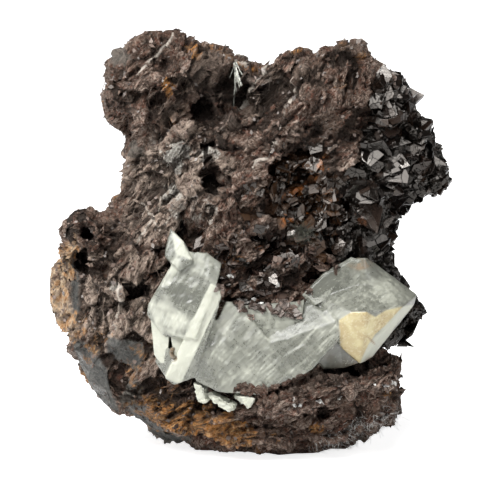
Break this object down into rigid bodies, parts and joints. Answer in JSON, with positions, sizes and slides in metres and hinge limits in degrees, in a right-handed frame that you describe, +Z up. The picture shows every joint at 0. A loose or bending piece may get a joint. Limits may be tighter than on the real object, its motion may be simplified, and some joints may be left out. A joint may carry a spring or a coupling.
{
  "type": "zinkenite specimen",
  "caption": "Brown siderite on grey host rock with glossy dark blades, intergrown pale calcite rhombs and fine grey zinkenite needles, standing on a flat trimmed foot.",
  "frame": {"origin": "on the surface that the specimen stands on, under the middle of its bounding box", "axes": "+Z up, -Y toward the viewer of the side with the crystals, +X to that viewer's right; the specimen is tallest along Z"},
  "size_m": [0.0675, 0.0456, 0.0712],
  "materials": {
    "host_rock": "rough, granular brown siderite and slate-grey rock, with rust",
    "siderite_blades": "glossy black-brown crystal blades",
    "siderite_crust": "resinous orange-brown crystals",
    "calcite": "cloudy, see-through crystal with white and cream zones",
    "zinkenite": "metallic grey needles"
  },
  "bodies": {
    "root": {"host_rock": "host_rock", "siderite_blades": "siderite_blades", "siderite_crust": "siderite_crust", "calcite_rhombs": "calcite", "calcite_chip_1": "calcite", "calcite_chip_2": "calcite", "calcite_chip_3": "calcite", "zinkenite_spray": "zinkenite", "zinkenite_felt": "zinkenite"}
  },
  "joints": []
}
